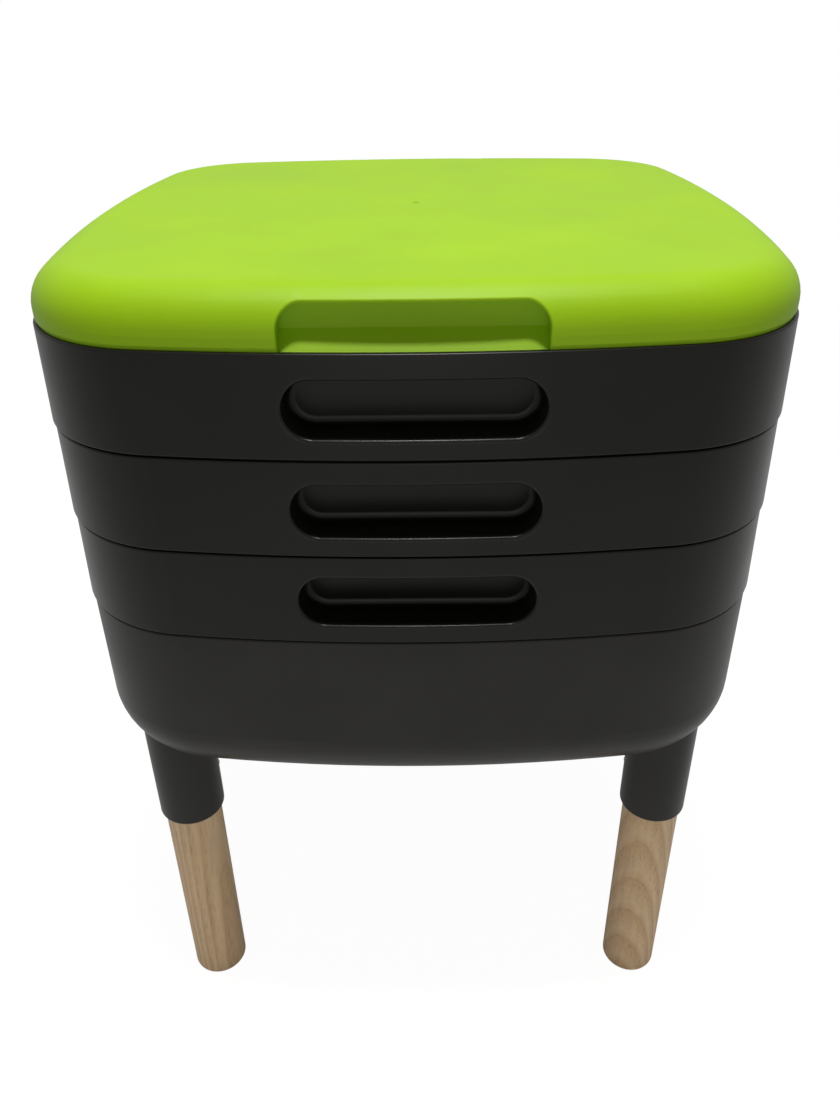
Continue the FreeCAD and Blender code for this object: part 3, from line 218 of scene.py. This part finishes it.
def oakWood(name, centre, cutting):
    material, tree, place, surface = newMaterial(name)
    pith = Vector((centre.x + cutting["pith"][0] * mm, centre.y + cutting["pith"][1] * mm, 0))
    lean = [math.radians(a) for a in cutting["lean"]]
    onPith = addNode(tree, "ShaderNodeMapping", {"Location": (-pith.x, -pith.y, 0)},
                     {"Vector": place}).outputs[0]
    onPith = addNode(tree, "ShaderNodeMapping", {"Rotation": (lean[0], lean[1], 0)},
                     {"Vector": onPith}).outputs[0]
    # slow wander of the rings, longer along the grain than across it
    wander = addNode(tree, "ShaderNodeMapping", {"Scale": (1, 1, oak["wanderAlong"])},
                     {"Vector": onPith}).outputs[0]
    wander = addNode(tree, "ShaderNodeTexNoise", {"Scale": perMm(oak["wanderSize"]),
                     "Detail": oak["wanderDetail"]}, {"Vector": wander}).outputs["Color"]
    reach = oak["wander"] * mm
    bent = addNode(tree, "ShaderNodeVectorMath", {"operation": "MULTIPLY_ADD", 1: (reach, reach, 0)},
                   {0: wander, 2: onPith}).outputs[0]
    # at a scale of 1 the rings of this texture come every tau / 20
    rings = addNode(tree, "ShaderNodeTexWave", {"wave_type": "RINGS", "rings_direction": "Z",
                    "wave_profile": "SAW", "Scale": math.tau / 20 * perMm(oak["ring"]),
                    "Distortion": oak["ringBend"], "Detail": oak["ringDetail"],
                    "Detail Scale": oak["ringDetailSize"]}, {"Vector": bent}).outputs["Fac"]
    # pores: dashes along the grain, crowded in the early wood of each ring
    dashes = addNode(tree, "ShaderNodeMapping", {"Scale": (1, 1, oak["poreWide"] / oak["poreLong"])},
                     {"Vector": onPith}).outputs[0]
    dashes = addNode(tree, "ShaderNodeTexNoise", {"Scale": perMm(oak["poreWide"]),
                     "Detail": oak["poreDetail"]}, {"Vector": dashes}).outputs["Fac"]
    low, high = oak["poreEnds"]
    pores = addNode(tree, "ShaderNodeValToRGB", {"stops": [(low, grey(0)), (high, grey(1))]},
                    {"Fac": dashes}).outputs["Color"]
    low, high = oak["crowdEnds"]
    crowd = addNode(tree, "ShaderNodeMapRange", {"From Min": low, "From Max": high,
                    "To Min": oak["crowd"][0], "To Max": oak["crowd"][1]},
                    {"Value": rings}).outputs["Result"]
    pores = addNode(tree, "ShaderNodeMath", {"operation": "MULTIPLY"}, {0: pores, 1: crowd}).outputs[0]
    # long faint streaks of colour
    streak = addNode(tree, "ShaderNodeMapping", {"Scale": (1, 1, oak["streakAlong"])},
                     {"Vector": onPith}).outputs[0]
    streak = addNode(tree, "ShaderNodeTexNoise", {"Scale": perMm(oak["streakSize"]),
                     "Detail": oak["streakDetail"]}, {"Vector": streak}).outputs["Fac"]
    colours = [toLinear(oak[part]) for part in ("early", "spring", "late", "last")]
    wood = addNode(tree, "ShaderNodeValToRGB", {"stops": list(zip(oak["colourPlaces"], colours))},
                   {"Fac": rings}).outputs["Color"]
    low, high = oak["streakEnds"]
    shade = addNode(tree, "ShaderNodeMapRange", {"From Min": low, "From Max": high,
                    "To Min": oak["streakShade"][0], "To Max": oak["streakShade"][1]},
                    {"Value": streak}).outputs["Result"]
    wood = addNode(tree, "ShaderNodeVectorMath", {"operation": "SCALE"},
                   {0: wood, "Scale": shade}).outputs[0]
    wood = addNode(tree, "ShaderNodeMix", {"data_type": "RGBA", 7: toLinear(oak["pore"])},
                   {0: pores, 6: wood}).outputs[2]
    rough = addNode(tree, "ShaderNodeMapRange", {"To Min": oak["roughLow"], "To Max": oak["roughHigh"]},
                    {"Value": streak}).outputs["Result"]
    sink = addNode(tree, "ShaderNodeMath", {"operation": "MULTIPLY", 1: -1.0}, {0: pores}).outputs[0]
    bump = addNode(tree, "ShaderNodeBump", {"Distance": oak["poreDepth"] * mm},
                   {"Height": sink}).outputs["Normal"]
    shader = addNode(tree, "ShaderNodeBsdfPrincipled", {"IOR": oak["ior"],
                     "Specular IOR Level": oak["gloss"]},
                     {"Base Color": wood, "Roughness": rough, "Normal": bump}).outputs[0]
    tree.links.new(shader, surface)
    return material


for name, cutting in legCuts.items():
    low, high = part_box(name)
    dress(oakWood(f"oak_{name}", (low + high) / 2, cutting), name)
print("oak made")


# Studio: floor, light and camera

studio = {"floorColour": "#F2F2F0", "floorReach": 9.0, "ambient": 0.16, "mirrored": 0.4,
          "floorGlow": 0.86, "glowLevel": 1.12, "shadowEnds": (0.5, 1.6)}
lamps = {
    "overhead": {"power": 9.5, "size": 0.7, "place": (0.05, 0.10, 1.9), "aim": (0, 0, 0.45)},
    # small, so that the rounded edges of the recesses catch a crisp line of light
    "edgeLight": {"power": 10.0, "size": 0.14, "place": (0.0, -0.27, 1.8), "aim": (0, -0.19, 0.42)},
    "lowFill": {"power": 1.0, "size": 0.6, "place": (0.0, -1.3, 0.45), "aim": (0, -0.15, 0.20)},
}
# close to the object and above it, looking down at its front: angles in degrees, film in millimetres
camera = {"lens": 29.88, "film": 36, "place": (0.0058, -0.5817, 0.5957), "down": 31.14, "yaw": 0.62,
          "roll": -0.80}


def whiteShare(tree):
    # 1 where the eye looks straight at the floor or the world, or through glass, less in a reflection
    rays = addNode(tree, "ShaderNodeLightPath").outputs
    direct = addNode(tree, "ShaderNodeMath", {"operation": "MAXIMUM"},
                     {0: rays["Is Camera Ray"], 1: rays["Is Transmission Ray"]}).outputs[0]
    mirrored = addNode(tree, "ShaderNodeMath", {"operation": "MULTIPLY", 1: studio["mirrored"]},
                       {0: rays["Is Glossy Ray"]}).outputs[0]
    return addNode(tree, "ShaderNodeMath", {"operation": "MAXIMUM"}, {0: direct, 1: mirrored}).outputs[0]


def makeFloor():
    shape = bmesh.new()
    bmesh.ops.create_grid(shape, x_segments=1, y_segments=1, size=studio["floorReach"])
    mesh = bpy.data.meshes.new("floor")
    shape.to_mesh(mesh)
    shape.free()
    floor = bpy.data.objects.new("floor", mesh)
    bpy.context.scene.collection.objects.link(floor)
    material, tree, place, surface = newMaterial("whiteFloor")
    # the floor keeps its shadow near the legs and goes to plain white further out
    away = addNode(tree, "ShaderNodeVectorMath", {"operation": "LENGTH"}, {0: place}).outputs["Value"]
    near, far = studio["shadowEnds"]
    share, level = (addNode(tree, "ShaderNodeMapRange", {"From Min": near, "From Max": far,
                            "To Min": studio[part], "To Max": 1.0}, {"Value": away}).outputs["Result"]
                    for part in ("floorGlow", "glowLevel"))
    share = addNode(tree, "ShaderNodeMath", {"operation": "MULTIPLY"},
                    {0: share, 1: whiteShare(tree)}).outputs[0]
    matt = addNode(tree, "ShaderNodeBsdfDiffuse", {"Color": toLinear(studio["floorColour"])}).outputs[0]
    glow = addNode(tree, "ShaderNodeEmission", {"Color": grey(1)}, {"Strength": level}).outputs[0]
    both = addNode(tree, "ShaderNodeMixShader", {}, {0: share, 1: matt, 2: glow}).outputs[0]
    tree.links.new(both, surface)
    mesh.materials.append(material)


def makeLight():
    world = bpy.data.worlds.new("studio")
    world.use_nodes = True
    bpy.context.scene.world = world
    tree = world.node_tree
    tree.nodes.clear()
    level = addNode(tree, "ShaderNodeMapRange", {"To Min": studio["ambient"], "To Max": 1.0},
                    {"Value": whiteShare(tree)}).outputs["Result"]
    back = addNode(tree, "ShaderNodeBackground", {"Color": grey(1)}, {"Strength": level}).outputs[0]
    addNode(tree, "ShaderNodeOutputWorld", {}, {"Surface": back})
    for name, look in lamps.items():
        lamp = bpy.data.lights.new(name, "AREA")
        lamp.shape = "SQUARE"
        lamp.size = look["size"]
        lamp.energy = look["power"]
        holder = bpy.data.objects.new(name, lamp)
        holder.location = look["place"]
        aim = Vector(look["aim"]) - holder.location
        holder.rotation_euler = aim.to_track_quat("-Z", "Y").to_euler()
        bpy.context.scene.collection.objects.link(holder)


def makeCamera():
    lens = bpy.data.cameras.new("camera")
    lens.lens = camera["lens"]
    lens.sensor_width = camera["film"]
    holder = bpy.data.objects.new("camera", lens)
    down, yaw, roll = (math.radians(camera[angle]) for angle in ("down", "yaw", "roll"))
    turn = Matrix.Rotation(yaw, 4, "Z") @ Matrix.Rotation(math.pi / 2 - down, 4, "X")
    turn = turn @ Matrix.Rotation(roll, 4, "Z")
    holder.matrix_world = Matrix.Translation(camera["place"]) @ turn
    bpy.context.scene.collection.objects.link(holder)
    bpy.context.scene.camera = holder


makeFloor()
makeLight()
makeCamera()
bpy.context.scene.view_settings.view_transform = "Standard"
print("studio made")
